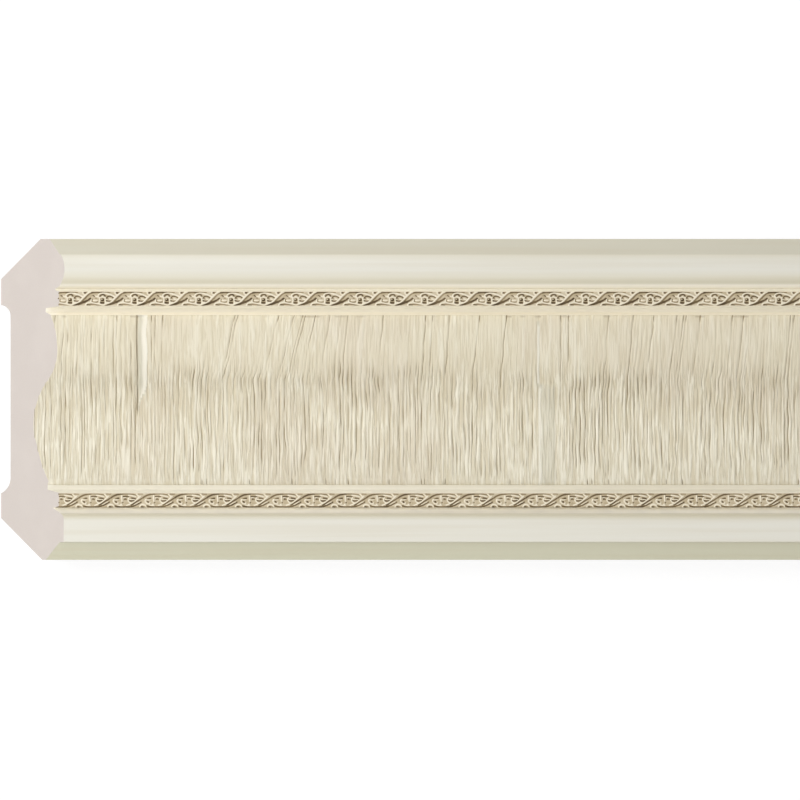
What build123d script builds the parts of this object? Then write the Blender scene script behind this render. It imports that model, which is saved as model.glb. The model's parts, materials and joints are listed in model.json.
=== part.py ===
# Wide cornice moulding, one length of foamed polystyrene stock.
# It lies on its two back lands with the moulded face up: X runs along the stock, Y runs across
# the face towards the ceiling edge, and Z rises from the back lands. The origin is under the
# middle of its box. The left end is mitred and the right end is square.

import os

from build123d import *

# Driving dimensions, in millimetres

stock_length = 2000.0
mitre_angle = 45.0  # the mitred end leans this far over the stock, in degrees

# Back of the section: bearing chamfers, lands and the recess between them
ceiling_chamfer = 20.0  # the chamfer that bears on the ceiling, along Y and along Z
wall_chamfer = 20.8  # the chamfer that bears on the wall, along Y and along Z
upper_land_width = 13.0
lower_land_width = 12.4
recess_depth = 4.8
recess_upper_sweep = 5.3  # width of the curve from the upper land to the recess floor
recess_lower_sweep = 7.7  # width of the curve from the recess floor to the lower land

# Members of the face from the ceiling edge down: widths along Y, levels above the back lands
ceiling_edge_thickness = 4.6  # the narrow edge that meets the ceiling
ceiling_bevel_width = 7.7
ovolo_level = 29.6  # where the ceiling bevel meets the ovolo
ovolo_quirk = 0.6  # the small step up at the start of the ovolo
ovolo_width = 15.8
ovolo_bulge = 2.2
upper_groove_lean = 1.4  # width of the sloping wall under the ovolo
upper_groove_floor_width = 0.8
upper_groove_rise_width = 0.5  # width of the steep wall up to the ornament band
upper_groove_level = 27.4
band_level = 29.5  # face of the two ornament bands
upper_band_width = 7.4
notch_wall_lean = 1.0
notch_level = 22.6
notch_floor_width = 1.9
notch_slope_width = 1.5

# The wide field is an S curve: a crest below its top edge and a hollow above its bottom edge
field_top_level = 25.1
crest_drop = 18.0  # from the field's top edge down to the crest
crest_level = 28.1
crest_to_hollow = 37.0
hollow_level = 16.1
hollow_rise = 30.0  # from the hollow down to the field's bottom edge
field_bottom_level = 23.6
crest_radius = 25.0  # the lower side of the crest

fillet_width = 2.3  # the flat fillet under the field
fillet_wall_lean = 1.6
lower_band_width = 7.3
lower_groove_level = 26.6
lower_groove_width = 0.5
shoulder_bevel_width = 2.3
shoulder_bevel_level = 29.9
shoulder_width = 3.2  # the curve from the bevel to the plinth
plinth_level = 31.7
plinth_width = 11.3
wall_bevel_level = 29.6
wall_bevel_width = 8.9
wall_edge_thickness = 1.8  # the narrow edge that meets the wall

# Places across the face, worked out downwards from the ceiling edge

face_width = (
    ceiling_bevel_width + ovolo_width
    + upper_groove_lean + upper_groove_floor_width + upper_groove_rise_width
    + upper_band_width + notch_wall_lean + notch_floor_width + notch_slope_width
    + crest_drop + crest_to_hollow + hollow_rise
    + fillet_width + fillet_wall_lean + lower_band_width
    + lower_groove_width + shoulder_bevel_width + shoulder_width
    + plinth_width + wall_bevel_width
)
ceiling_edge = face_width / 2
wall_edge = -face_width / 2

ovolo_top = ceiling_edge - ceiling_bevel_width
ovolo_bottom = ovolo_top - ovolo_width
upper_groove_top = ovolo_bottom - upper_groove_lean
upper_groove_bottom = upper_groove_top - upper_groove_floor_width
upper_band_top = upper_groove_bottom - upper_groove_rise_width
upper_band_bottom = upper_band_top - upper_band_width
notch_top = upper_band_bottom - notch_wall_lean
notch_bottom = notch_top - notch_floor_width
field_top = notch_bottom - notch_slope_width
crest = field_top - crest_drop
hollow = crest - crest_to_hollow
field_bottom = hollow - hollow_rise
fillet_bottom = field_bottom - fillet_width
lower_band_top = fillet_bottom - fillet_wall_lean
lower_band_bottom = lower_band_top - lower_band_width
shoulder_top = lower_band_bottom - lower_groove_width
shoulder_break = shoulder_top - shoulder_bevel_width
plinth_top = shoulder_break - shoulder_width
plinth_bottom = plinth_top - plinth_width

upper_land_top = ceiling_edge - ceiling_chamfer
recess_top = upper_land_top - upper_land_width
lower_land_bottom = wall_edge + wall_chamfer
recess_bottom = lower_land_bottom + lower_land_width


def field_inflection():
    """Point where the crest's arc runs smoothly into the hollow's arc."""
    fall = crest_level - hollow_level
    both_radii = (fall**2 + crest_to_hollow**2) / (2 * fall)
    share = crest_radius / both_radii
    return (
        crest - share * crest_to_hollow,
        crest_level - crest_radius + share * (both_radii - fall),
    )


# Section across the stock, in the YZ plane, drawn round from the ceiling edge

inflection = field_inflection()

with BuildPart() as cornice_moulding:
    with BuildSketch(Plane.YZ):
        with BuildLine():
            # Ceiling edge, ovolo and upper groove
            Polyline(
                (ceiling_edge, ceiling_chamfer),
                (ceiling_edge, ceiling_chamfer + ceiling_edge_thickness),
                (ovolo_top, ovolo_level),
                (ovolo_top, ovolo_level + ovolo_quirk),
            )
            SagittaArc(
                (ovolo_top, ovolo_level + ovolo_quirk),
                (ovolo_bottom, ovolo_level),
                -ovolo_bulge,
            )
            # Upper ornament band and the notch above the field
            Polyline(
                (ovolo_bottom, ovolo_level),
                (upper_groove_top, upper_groove_level),
                (upper_groove_bottom, upper_groove_level),
                (upper_band_top, band_level),
                (upper_band_bottom, band_level),
                (notch_top, notch_level),
                (notch_bottom, notch_level),
                (field_top, field_top_level),
            )
            # Field: four arcs, level at the crest and at the hollow
            TangentArc((crest, crest_level), (field_top, field_top_level), tangent=(1, 0))
            TangentArc((crest, crest_level), inflection, tangent=(-1, 0))
            TangentArc((hollow, hollow_level), inflection, tangent=(1, 0))
            TangentArc((hollow, hollow_level), (field_bottom, field_bottom_level), tangent=(-1, 0))
            # Fillet, lower ornament band, lower groove and the shoulder's bevel
            Polyline(
                (field_bottom, field_bottom_level),
                (fillet_bottom, field_bottom_level),
                (lower_band_top, band_level),
                (lower_band_bottom, band_level),
                (lower_band_bottom, lower_groove_level),
                (shoulder_top, lower_groove_level),
                (shoulder_break, shoulder_bevel_level),
            )
            TangentArc(
                (plinth_top, plinth_level), (shoulder_break, shoulder_bevel_level), tangent=(1, 0)
            )
            # Plinth, wall bevel and wall edge
            Polyline(
                (plinth_top, plinth_level),
                (plinth_bottom, plinth_level),
                (plinth_bottom, wall_bevel_level),
                (wall_edge, wall_chamfer + wall_edge_thickness),
                (wall_edge, wall_chamfer),
                (lower_land_bottom, 0),
                (recess_bottom, 0),
            )
            # Recess between the back lands
            TangentArc(
                (recess_bottom + recess_lower_sweep, recess_depth),
                (recess_bottom, 0),
                tangent=(-1, 0),
            )
            Line(
                (recess_bottom + recess_lower_sweep, recess_depth),
                (recess_top - recess_upper_sweep, recess_depth),
            )
            TangentArc(
                (recess_top - recess_upper_sweep, recess_depth), (recess_top, 0), tangent=(1, 0)
            )
            Polyline((recess_top, 0), (upper_land_top, 0), (ceiling_edge, ceiling_chamfer))
        make_face()
    extrude(amount=stock_length / 2, both=True)

    # The mitred end leaves the back longer than the face
    mitre_cut = Plane(origin=(-stock_length / 2, 0, 0), z_dir=(1, 0, 0)).rotated((0, mitre_angle, 0))
    split(bisect_by=mitre_cut, keep=Keep.TOP)

cornice_moulding.part.label = "cornice_moulding"

os.makedirs("parts", exist_ok=True)
export_step(cornice_moulding.part, "parts/cornice_moulding.step")
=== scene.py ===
"""Dresses a length of wide cornice moulding: paint, grained field, scrolled bands and cut ends."""
import json
import math

import bmesh
import bpy
import numpy as np
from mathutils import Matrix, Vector
from mathutils.geometry import delaunay_2d_cdt

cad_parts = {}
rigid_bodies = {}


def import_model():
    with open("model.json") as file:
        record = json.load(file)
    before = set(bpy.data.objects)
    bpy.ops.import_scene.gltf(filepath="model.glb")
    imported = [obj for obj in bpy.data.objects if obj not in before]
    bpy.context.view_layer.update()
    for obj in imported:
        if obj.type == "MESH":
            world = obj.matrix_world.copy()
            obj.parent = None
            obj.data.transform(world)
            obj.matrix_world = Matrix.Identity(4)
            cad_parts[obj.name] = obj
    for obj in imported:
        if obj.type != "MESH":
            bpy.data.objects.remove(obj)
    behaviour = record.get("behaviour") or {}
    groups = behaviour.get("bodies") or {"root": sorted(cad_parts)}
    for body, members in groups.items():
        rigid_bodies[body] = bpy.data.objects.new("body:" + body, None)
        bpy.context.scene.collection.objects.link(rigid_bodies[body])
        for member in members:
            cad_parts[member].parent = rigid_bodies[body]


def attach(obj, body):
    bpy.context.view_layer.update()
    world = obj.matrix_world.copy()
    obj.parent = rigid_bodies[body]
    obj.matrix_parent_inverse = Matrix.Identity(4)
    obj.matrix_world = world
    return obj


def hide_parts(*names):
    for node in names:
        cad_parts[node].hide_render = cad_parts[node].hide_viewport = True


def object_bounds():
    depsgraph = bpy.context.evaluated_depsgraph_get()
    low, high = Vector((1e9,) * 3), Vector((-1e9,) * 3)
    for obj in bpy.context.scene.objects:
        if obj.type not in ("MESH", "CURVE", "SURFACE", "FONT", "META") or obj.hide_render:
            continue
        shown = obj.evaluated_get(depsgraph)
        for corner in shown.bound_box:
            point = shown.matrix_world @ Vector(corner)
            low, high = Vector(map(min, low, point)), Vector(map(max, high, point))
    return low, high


for left_over in list(bpy.data.objects):
    bpy.data.objects.remove(left_over)

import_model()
cad_low, cad_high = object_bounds()

MM = 0.001
NODE = "cornice_moulding"
SEED = 41

# The section, in millimetres: the same sizes as the solid's. Across is along Y, level is along Z.

MITRE_TOE = cad_low.x / MM  # where the mitred plane meets the floor
SQUARE_END = cad_high.x / MM
CEILING_EDGE = cad_high.y / MM
WALL_EDGE = cad_low.y / MM

CEILING_CHAMFER = 20.0
WALL_CHAMFER = 20.8
UPPER_LAND_WIDTH = 13.0
LOWER_LAND_WIDTH = 12.4
RECESS_DEPTH = 4.8
RECESS_UPPER_SWEEP = 5.3
RECESS_LOWER_SWEEP = 7.7

CEILING_EDGE_THICKNESS = 4.6
OVOLO_TOP = CEILING_EDGE - 7.7
OVOLO_LEVEL = 29.6
OVOLO_QUIRK = 0.6
OVOLO_BOTTOM = OVOLO_TOP - 15.8
OVOLO_BULGE = 2.2
UPPER_GROOVE_TOP = OVOLO_BOTTOM - 1.4
UPPER_GROOVE_BOTTOM = UPPER_GROOVE_TOP - 0.8
UPPER_GROOVE_LEVEL = 27.4
UPPER_BAND_TOP = UPPER_GROOVE_BOTTOM - 0.5
BAND_LEVEL = 29.5
UPPER_BAND_BOTTOM = UPPER_BAND_TOP - 7.4
NOTCH_TOP = UPPER_BAND_BOTTOM - 1.0
NOTCH_LEVEL = 22.6
NOTCH_BOTTOM = NOTCH_TOP - 1.9
FIELD_TOP = NOTCH_BOTTOM - 1.5
FIELD_TOP_LEVEL = 25.1
CREST = FIELD_TOP - 18.0
CREST_LEVEL = 28.1
CREST_RADIUS = 25.0
HOLLOW = CREST - 37.0
HOLLOW_LEVEL = 16.1
FIELD_BOTTOM = HOLLOW - 30.0
FIELD_BOTTOM_LEVEL = 23.6
FILLET_BOTTOM = FIELD_BOTTOM - 2.3
LOWER_BAND_TOP = FILLET_BOTTOM - 1.6
LOWER_BAND_BOTTOM = LOWER_BAND_TOP - 7.3
LOWER_GROOVE_LEVEL = 26.6
SHOULDER_TOP = LOWER_BAND_BOTTOM - 0.5
SHOULDER_BREAK = SHOULDER_TOP - 2.3
SHOULDER_BEVEL_LEVEL = 29.9
PLINTH_TOP = SHOULDER_BREAK - 3.2
PLINTH_LEVEL = 31.7
PLINTH_BOTTOM = PLINTH_TOP - 11.3
WALL_BEVEL_LEVEL = 29.6
WALL_EDGE_THICKNESS = 1.8

# How the dressed pieces are let into the body
BAND_SEAT = 1.9  # depth of a band's strip below the band's face
FIELD_SEAT = 2.2  # depth of the field's slab below its face
SEAT_LEVEL = BAND_LEVEL - BAND_SEAT
EDGE_RADIUS = 0.35  # worn roundness of the painted arrises
RUN_OVER = 3.0  # how far a piece is made past an end before it is cut there
FOAM_INDEX = 1  # each piece's second material is the bare foam of its cut ends
SAME_PLACE = 1e-3  # places closer than this are one place
SEAT_ARC_POINTS = 7  # points on each arc of the field's seat
SOFT, CRISP = True, False  # whether a corner of the section is rounded

# The camera looks straight down on the mitred end
VIEW_CENTRE = (-800.35, -0.3)
VIEW_WIDTH = 400.0
VIEW_LEVEL = 15.0  # the level at which the view is exactly that wide
CAMERA_LENS = 1400.0
SENSOR_WIDTH = 36.0


# Camera


def new_object(name, data):
    """A new object in the scene."""
    made = bpy.data.objects.new(name, data)
    bpy.context.scene.collection.objects.link(made)
    return made


def add_camera():
    """A long lens straight above the mitred end."""
    data = bpy.data.cameras.new("camera")
    data.lens = CAMERA_LENS
    data.sensor_width = SENSOR_WIDTH
    height = VIEW_WIDTH * MM * CAMERA_LENS / SENSOR_WIDTH + VIEW_LEVEL * MM
    data.clip_end = height * 6
    camera = new_object("camera", data)
    camera.location = (VIEW_CENTRE[0] * MM, VIEW_CENTRE[1] * MM, height)
    bpy.context.scene.camera = camera


# Curves across the section: points are (across, level)


def tangent_arc(start, end, direction, count):
    """Points of the arc that leaves start along direction and reaches end, both included."""
    start, end = np.array(start, float), np.array(end, float)
    along = np.array(direction, float) / np.hypot(*direction)
    normal = np.array((-along[1], along[0]))
    chord = end - start
    radius = chord @ chord / (2 * chord @ normal)
    turn = 2 * math.atan2(chord @ normal, chord @ along)
    side = math.copysign(1, radius) * normal
    return [
        tuple(start + abs(radius) * (along * math.sin(abs(a)) + side * (1 - math.cos(a))))
        for a in np.linspace(0, turn, count)
    ]


def bulged_arc(start, end, bulge, count):
    """Points of the arc from start to end that stands up by bulge at its middle."""
    (y0, z0), (y1, z1) = start, end
    half = math.hypot(y1 - y0, z1 - z0) / 2
    radius = (half**2 + bulge**2) / (2 * bulge)
    reach = math.asin(half / radius)
    along = np.array((y1 - y0, z1 - z0)) / (2 * half)
    up = np.array((along[1], -along[0])) * (1 if along[0] < 0 else -1)
    centre = np.array(((y0 + y1) / 2, (z0 + z1) / 2)) - up * (radius - bulge)
    return [
        tuple(centre + radius * (along * math.sin(a) + up * math.cos(a)))
        for a in np.linspace(-reach, reach, count)
    ]


def field_curve(arc_points):
    """The field's S curve from its top edge to its bottom edge."""
    fall = CREST_LEVEL - HOLLOW_LEVEL
    run = CREST - HOLLOW
    both_radii = (fall**2 + run**2) / (2 * fall)
    share = CREST_RADIUS / both_radii
    inflection = (CREST - share * run, CREST_LEVEL - CREST_RADIUS + share * (both_radii - fall))
    crest, hollow = (CREST, CREST_LEVEL), (HOLLOW, HOLLOW_LEVEL)
    rise = tangent_arc(crest, (FIELD_TOP, FIELD_TOP_LEVEL), (1, 0), arc_points)[::-1]
    shed = tangent_arc(crest, inflection, (-1, 0), arc_points)
    sink = tangent_arc(hollow, inflection, (1, 0), arc_points)[::-1]
    climb = tangent_arc(hollow, (FIELD_BOTTOM, FIELD_BOTTOM_LEVEL), (-1, 0), arc_points)
    return rise[:-1] + shed[:-1] + sink[:-1] + climb


def rounded(before, corner, after, radius, steps=4):
    """Points of a small round put on a corner."""
    corner = np.array(corner)
    back, forth = np.array(before) - corner, np.array(after) - corner
    longest = 0.45 * min(np.hypot(*back), np.hypot(*forth))
    back, forth = back / np.hypot(*back), forth / np.hypot(*forth)
    half_turn = (math.pi - math.acos(np.clip(back @ forth, -1, 1))) / 2
    radius = min(radius, longest / math.tan(half_turn))
    setback = radius * math.tan(half_turn)
    centre = corner + (back + forth) / np.linalg.norm(back + forth) * radius / math.cos(half_turn)
    first, last = corner + back * setback - centre, corner + forth * setback - centre
    shares = np.linspace(0, 1, steps)
    turn = 2 * half_turn
    return [
        tuple(centre + (first * math.sin((1 - s) * turn) + last * math.sin(s * turn)) / math.sin(turn))
        for s in shares
    ]


def face_runs():
    """Runs of the section's corners from the ceiling edge to the wall edge, with seats let in."""
    ovolo_start, ovolo_end = (OVOLO_TOP, OVOLO_LEVEL + OVOLO_QUIRK), (OVOLO_BOTTOM, OVOLO_LEVEL)
    plinth_corner, shoulder_corner = (PLINTH_TOP, PLINTH_LEVEL), (SHOULDER_BREAK, SHOULDER_BEVEL_LEVEL)
    return (
        (SOFT, [
            (CEILING_EDGE, CEILING_CHAMFER),
            (CEILING_EDGE, CEILING_CHAMFER + CEILING_EDGE_THICKNESS),
            (OVOLO_TOP, OVOLO_LEVEL),
        ]),
        (CRISP, bulged_arc(ovolo_start, ovolo_end, OVOLO_BULGE, 25)),
        (SOFT, [(UPPER_GROOVE_TOP, UPPER_GROOVE_LEVEL), (UPPER_GROOVE_BOTTOM, UPPER_GROOVE_LEVEL)]),
        (CRISP, [
            (UPPER_BAND_TOP, BAND_LEVEL),
            (UPPER_BAND_TOP, SEAT_LEVEL),
            (UPPER_BAND_BOTTOM, SEAT_LEVEL),
            (UPPER_BAND_BOTTOM, BAND_LEVEL),
        ]),
        (SOFT, [(NOTCH_TOP, NOTCH_LEVEL), (NOTCH_BOTTOM, NOTCH_LEVEL)]),
        (CRISP, [(FIELD_TOP, FIELD_TOP_LEVEL)]),
        (CRISP, [(y, z - FIELD_SEAT) for y, z in field_curve(SEAT_ARC_POINTS)]),
        (CRISP, [(FIELD_BOTTOM, FIELD_BOTTOM_LEVEL)]),
        (SOFT, [(FILLET_BOTTOM, FIELD_BOTTOM_LEVEL)]),
        (CRISP, [
            (LOWER_BAND_TOP, BAND_LEVEL),
            (LOWER_BAND_TOP, SEAT_LEVEL),
            (LOWER_BAND_BOTTOM, SEAT_LEVEL),
            (LOWER_BAND_BOTTOM, LOWER_GROOVE_LEVEL),
        ]),
        (SOFT, [(SHOULDER_TOP, LOWER_GROOVE_LEVEL), shoulder_corner]),
        (CRISP, tangent_arc(plinth_corner, shoulder_corner, (1, 0), 10)[-2::-1]),
        (SOFT, [
            (PLINTH_BOTTOM, PLINTH_LEVEL),
            (PLINTH_BOTTOM, WALL_BEVEL_LEVEL),
            (WALL_EDGE, WALL_CHAMFER + WALL_EDGE_THICKNESS),
            (WALL_EDGE, WALL_CHAMFER),
        ]),
    )


def back_runs():
    """Runs of the section's corners along the back, from the wall edge to the ceiling edge."""
    recess_bottom = WALL_EDGE + WALL_CHAMFER + LOWER_LAND_WIDTH
    recess_top = CEILING_EDGE - CEILING_CHAMFER - UPPER_LAND_WIDTH
    floor_start = (recess_bottom + RECESS_LOWER_SWEEP, RECESS_DEPTH)
    floor_end = (recess_top - RECESS_UPPER_SWEEP, RECESS_DEPTH)
    return (
        (SOFT, [(WALL_EDGE + WALL_CHAMFER, 0)]),
        (CRISP, tangent_arc(floor_start, (recess_bottom, 0), (-1, 0), 9)[::-1]),
        (CRISP, tangent_arc(floor_end, (recess_top, 0), (1, 0), 9)),
        (SOFT, [(CEILING_EDGE - CEILING_CHAMFER, 0)]),
    )


def body_outline():
    """The whole section: each corner and whether it is soft."""
    return [(corner, softness) for softness, run in face_runs() + back_runs() for corner in run]


# Meshes: vertices are given in millimetres and kept in metres


def new_piece(name, vertices, faces):
    """An object with its place in its mesh."""
    mesh = bpy.data.meshes.new(name)
    mesh.from_pydata((np.asarray(vertices) * MM).tolist(), [], faces)
    return new_object(name, mesh)


def stitch(upper, lower, upper_x, lower_x):
    """Triangles between two chains of vertices that run the same way."""
    faces = []
    i = j = 0
    while i < len(upper) - 1 or j < len(lower) - 1:
        upper_next = upper_x[i + 1] if i < len(upper) - 1 else math.inf
        lower_next = lower_x[j + 1] if j < len(lower) - 1 else math.inf
        if upper_next <= lower_next:
            faces.append((upper[i], lower[j], upper[i + 1]))
            i += 1
        else:
            faces.append((upper[i], lower[j], lower[j + 1]))
            j += 1
    return faces


def cut_ends(piece, relief_faces):
    """Cuts a piece at both ends, closes it and shades only its relief smooth."""
    mesh = bmesh.new()
    mesh.from_mesh(piece.data)
    mesh.faces.ensure_lookup_table()
    for face in mesh.faces[:relief_faces]:
        face.smooth = True
    ends = (
        (Vector((MITRE_TOE * MM, 0, 0)), Vector((-1, 0, 1))),
        (Vector((SQUARE_END * MM, 0, 0)), Vector((1, 0, 0))),
    )
    for place, outward in ends:
        whole = list(mesh.verts) + list(mesh.edges) + list(mesh.faces)
        cut = bmesh.ops.bisect_plane(
            mesh, geom=whole, plane_co=place, plane_no=outward, clear_outer=True
        )
        loop = [item for item in cut["geom_cut"] if isinstance(item, bmesh.types.BMEdge)]
        if loop:
            bmesh.ops.edgeloop_fill(mesh, edges=loop, mat_nr=FOAM_INDEX, use_smooth=False)
    bmesh.ops.recalc_face_normals(mesh, faces=mesh.faces)
    mesh.to_mesh(piece.data)
    mesh.free()


def dress(piece, slot, *materials):
    """Gives a piece its materials and its place in the frame."""
    for material in materials:
        piece.data.materials.append(material)
    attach(piece, "root")
    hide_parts(NODE)


# Body


def softened(outline):
    """The outline's points with a small round put on each soft corner."""
    points = []
    for index, (point, is_soft) in enumerate(outline):
        if is_soft:
            before, after = outline[index - 1][0], outline[(index + 1) % len(outline)][0]
            points += rounded(before, point, after, EDGE_RADIUS)
        else:
            points.append(point)
    return points


def make_body():
    """The plain members, the back and both cut ends."""
    points = softened(body_outline())
    count = len(points)
    mitred = [(MITRE_TOE + z, y, z) for y, z in points]
    square = [(SQUARE_END, y, z) for y, z in points]
    sides = [(i, (i + 1) % count, count + (i + 1) % count, count + i) for i in range(count)]
    caps = [tuple(range(count))[::-1], tuple(range(count, 2 * count))]
    body = new_piece("moulding_body", mitred + square, sides + caps)
    for polygon in body.data.polygons[:count]:
        polygon.use_smooth = True
    for polygon in body.data.polygons:
        if polygon.index >= count or polygon.normal.z < -0.3:
            polygon.material_index = FOAM_INDEX
    body.data.set_sharp_from_angle(angle=math.radians(35))
    weighted = body.modifiers.new("weighted", "WEIGHTED_NORMAL")
    weighted.keep_sharp = True
    return body


# Carved bands: a motif has its own frame, x along the stock and y up from the band's top edge

GROUND = -0.27  # level of the motif's ground below the band's face
LIGHT, PALE, MID, DARK_MID, DARK, DEEP = -0.02, -0.13, -0.31, -0.48, -0.65, -0.82
STROKE_EDGE = 0.2  # softness of a stroke's edge
BAND_EDGE = -0.03  # level of a band at its two long edges
BAND_FALL = 1.2  # how far the lower band drops away along its bottom edge
BAND_FALL_WIDTH = 0.75
FINE_STEP = 0.11  # grid inside a motif's tile
SEAM_STEP = 0.22  # grid where a tile meets the next one
LONG_EDGE_STEP = 0.52  # grid along a tile's two long edges
TILE_TRIANGLES = 2200

UPPER_PITCH = 16.095
LOWER_PITCH = 15.95
UPPER_START = -999.7  # where a motif's own origin falls along the stock
LOWER_START = -1000.35

# Each stroke: width, level and the points that it follows; a later stroke lies over an earlier one
UPPER_MOTIF = (
    # ground between two scrolls, with the hollow that follows the ribbon up
    (0.95, DARK_MID, (
        (9.9, -3.5), (10.6, -2.7), (11.5, -1.8), (12.6, -1.05),
        (13.7, -0.8), (15.5, -0.75), (17.2, -0.7),
    )),
    (0.75, DARK, ((12.9, -0.75), (14.2, -0.6), (16.1, -0.5), (18.6, -0.45))),
    (0.4, DARK_MID, ((18.6, -0.42), (20.6, -0.5), (22.2, -0.65))),
    (1.5, MID, ((12.9, -2.0), (14.5, -1.6), (15.8, -1.5))),
    (0.35, DARK, ((13.9, -2.1), (14.6, -2.6))),
    (0.5, PALE, ((15.1, -2.4), (16.2, -2.9))),
    (0.3, DARK_MID, ((15.0, -3.4), (15.6, -3.5))),
    # long shadow line below a scroll
    (0.4, DARK_MID, (
        (-3.2, -6.45), (-1.9, -6.5), (-0.9, -6.7), (0.6, -7.12), (2.97, -7.15), (4.3, -7.0),
    )),
    # channel under the ribbon
    (0.95, DARK_MID, ((8.4, -4.9), (9.2, -4.1), (9.9, -3.7))),
    (0.7, DEEP, ((4.3, -6.98), (5.47, -6.68), (6.4, -6.35))),
    (1.15, DEEP, ((6.4, -6.35), (7.66, -5.95), (8.75, -5.5), (9.6, -5.3))),
    (0.85, DEEP, ((9.4, -5.35), (10.4, -4.9), (11.3, -4.4), (12.1, -3.9), (12.5, -3.6))),
    # leaf
    (0.55, DARK, ((4.5, -3.3), (4.95, -2.85), (5.6, -2.5), (6.5, -2.48), (7.3, -2.8), (7.9, -3.3))),
    (0.45, DARK, ((4.45, -4.5), (4.9, -4.9), (6.1, -5.02), (6.95, -4.85))),
    (0.35, DARK_MID, ((4.5, -3.5), (5.2, -3.55))),
    (0.75, PALE, ((6.0, -3.85), (6.9, -4.0))),
    (0.3, LIGHT, ((6.3, -3.8), (6.8, -3.95))),
    (0.6, LIGHT, ((4.3, -5.75), (5.3, -5.5))),
    # lobe with its pale heart, the bead's dark ring and the hollow below it
    (0.62, DARK, ((1.25, -2.6), (1.45, -2.1), (2.05, -1.75), (2.8, -1.62), (3.4, -1.85), (3.75, -2.3))),
    (0.45, PALE, ((2.4, -2.5), (2.7, -2.45))),
    (1.7, DARK, ((2.4, -4.2),)),
    (0.5, DEEP, ((3.0, -4.1), (2.9, -4.6), (2.1, -4.75))),
    (0.75, DEEP, ((1.7, -5.75), (3.0, -5.75))),
    # drop under the ribbon, the small scroll after it and its smile
    (0.5, DARK, ((11.0, -6.72), (12.4, -6.8))),
    (0.35, DARK_MID, ((12.4, -6.6), (14.0, -6.45))),
    (0.35, DARK_MID, (
        (13.6, -3.9), (13.3, -4.5), (13.45, -5.1), (14.2, -5.46), (15.2, -5.54), (16.2, -5.2),
    )),
    (0.5, LIGHT, ((14.1, -4.55), (15.9, -4.65))),
    # raised lines: the scroll, the arch, the cell's walls and the ribbon
    (0.55, LIGHT, (
        (-3.28, -5.5), (-1.25, -6.0), (0.63, -6.22), (1.88, -6.66), (2.97, -6.8), (4.06, -6.42),
    )),
    (0.75, LIGHT, (
        (4.06, -6.42), (5.0, -6.02), (6.1, -5.6), (6.9, -5.15), (7.66, -4.44), (8.3, -3.74),
    )),
    (0.95, LIGHT, (
        (8.3, -3.74), (9.06, -2.9), (9.85, -2.1), (10.8, -1.25), (11.7, -0.55), (12.5, -0.3),
    )),
    (0.55, LIGHT, (
        (0.3, -2.6), (0.4, -1.9), (1.05, -1.24), (2.03, -0.95), (3.28, -0.93), (4.53, -1.1),
    )),
    (0.8, LIGHT, ((4.53, -1.1), (5.47, -1.4), (6.4, -1.7), (7.35, -2.1), (8.28, -2.6), (8.9, -2.9))),
    (0.45, LIGHT, ((0.35, -2.5), (0.8, -3.1), (0.98, -3.8), (1.0, -4.75), (0.85, -5.5), (0.7, -6.0))),
    (0.35, LIGHT, ((1.0, -3.15), (1.6, -2.97), (2.5, -2.92), (3.4, -2.97), (4.0, -3.15))),
    (0.4, LIGHT, ((3.8, -3.2), (3.72, -3.8), (3.85, -4.6), (3.92, -5.4), (3.75, -6.1))),
    (0.3, LIGHT, ((3.9, -4.1), (4.7, -4.13))),
    (0.2, MID, ((1.4, -5.12), (3.3, -5.12))),
    (0.35, MID, ((9.9, -4.15), (10.9, -4.05), (11.5, -3.75))),
    (0.5, LIGHT, (
        (10.0, -6.95), (10.3, -6.35), (10.9, -5.9), (11.8, -5.65),
        (12.5, -5.4), (12.8, -4.9), (12.9, -4.2),
    )),
    # pearl, ring with its pit, and small punched dots
    (0.5, LIGHT, ((2.16, -3.98),)),
    (2.1, LIGHT, ((9.3, -0.75),)),
    (1.0, DARK, ((9.6, -0.75), (9.9, -0.8))),
    (0.4, DARK_MID, ((10.5, -0.4), (10.8, -0.35))),
    (0.35, DARK, ((12.15, -3.75),)),
)

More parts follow.
